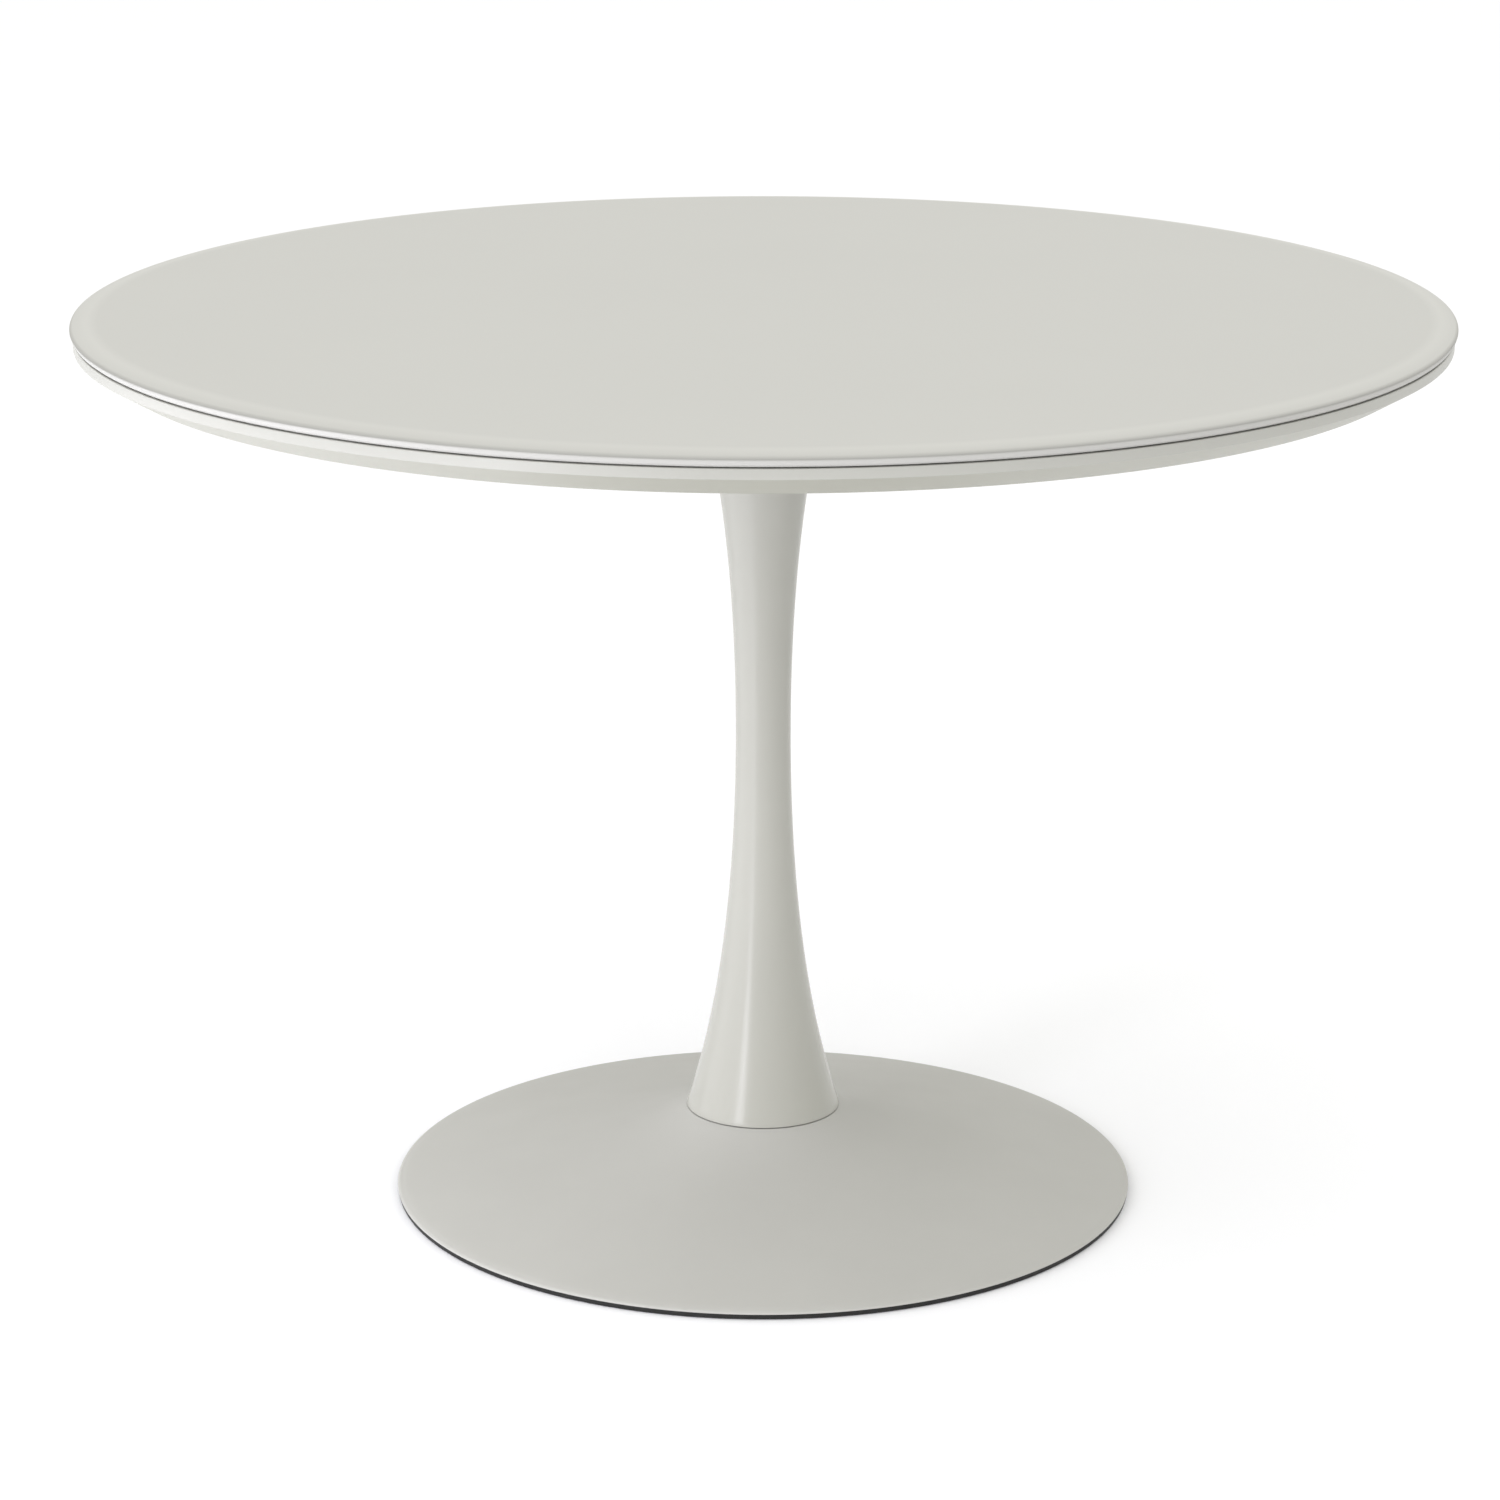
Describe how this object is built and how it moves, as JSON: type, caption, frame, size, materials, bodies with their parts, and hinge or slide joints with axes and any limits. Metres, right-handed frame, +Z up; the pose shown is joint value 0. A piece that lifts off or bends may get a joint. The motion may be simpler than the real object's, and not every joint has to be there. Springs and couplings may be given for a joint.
{
  "type": "round pedestal table",
  "caption": "Free-standing round table: a glass slab on a chamfered board, a slender column flared at both ends, and a trumpet-shaped disc base on a rubber ring.",
  "frame": {"origin": "on the floor at the table's vertical axis", "axes": "+Z up along the column; the table is round, so X and Y are any two level directions"},
  "size_m": [1.1, 1.1, 0.745],
  "materials": {
    "top_glass": "satin back-painted glass, warm light grey, polished rolled edge",
    "bond_adhesive": "dark grey adhesive layer",
    "board_paint": "fibreboard with satin lacquer, warm light grey",
    "column_paint": "satin paint, warm light grey",
    "base_paint": "matte fine-texture paint, warm light grey",
    "ring_rubber": "matte black rubber",
    "black_steel": "black powder coat",
    "ballast_iron": "machined and primed iron plate",
    "zinc_steel": "zinc-plated steel",
    "insert_brass": "turned brass"
  },
  "bodies": {
    "root": {"glass_top": "top_glass", "glass_bond_layer": "bond_adhesive", "top_board": "board_paint", "board_insert_1": "insert_brass", "board_insert_2": "insert_brass", "board_insert_3": "insert_brass", "board_insert_4": "insert_brass", "board_insert_5": "insert_brass", "board_insert_6": "insert_brass", "support_plate": "black_steel", "board_washer_1": "zinc_steel", "board_screw_1": "zinc_steel", "board_washer_2": "zinc_steel", "board_screw_2": "zinc_steel", "board_washer_3": "zinc_steel", "board_screw_3": "zinc_steel", "board_washer_4": "zinc_steel", "board_screw_4": "zinc_steel", "board_washer_5": "zinc_steel", "board_screw_5": "zinc_steel", "board_washer_6": "zinc_steel", "board_screw_6": "zinc_steel", "column_shell": "column_paint", "column_head_plate": "black_steel", "column_foot_plate": "black_steel", "head_screw_1": "zinc_steel", "head_screw_2": "zinc_steel", "head_screw_3": "zinc_steel", "head_screw_4": "zinc_steel", "base_shell": "base_paint", "hub_plate": "black_steel", "hub_tube": "black_steel", "ballast_plate": "ballast_iron", "foot_ring": "ring_rubber", "foot_flat_washer_1": "zinc_steel", "foot_spring_washer_1": "zinc_steel", "foot_bolt_1": "zinc_steel", "foot_flat_washer_2": "zinc_steel", "foot_spring_washer_2": "zinc_steel", "foot_bolt_2": "zinc_steel", "foot_flat_washer_3": "zinc_steel", "foot_spring_washer_3": "zinc_steel", "foot_bolt_3": "zinc_steel", "foot_flat_washer_4": "zinc_steel", "foot_spring_washer_4": "zinc_steel", "foot_bolt_4": "zinc_steel"}
  },
  "joints": []
}
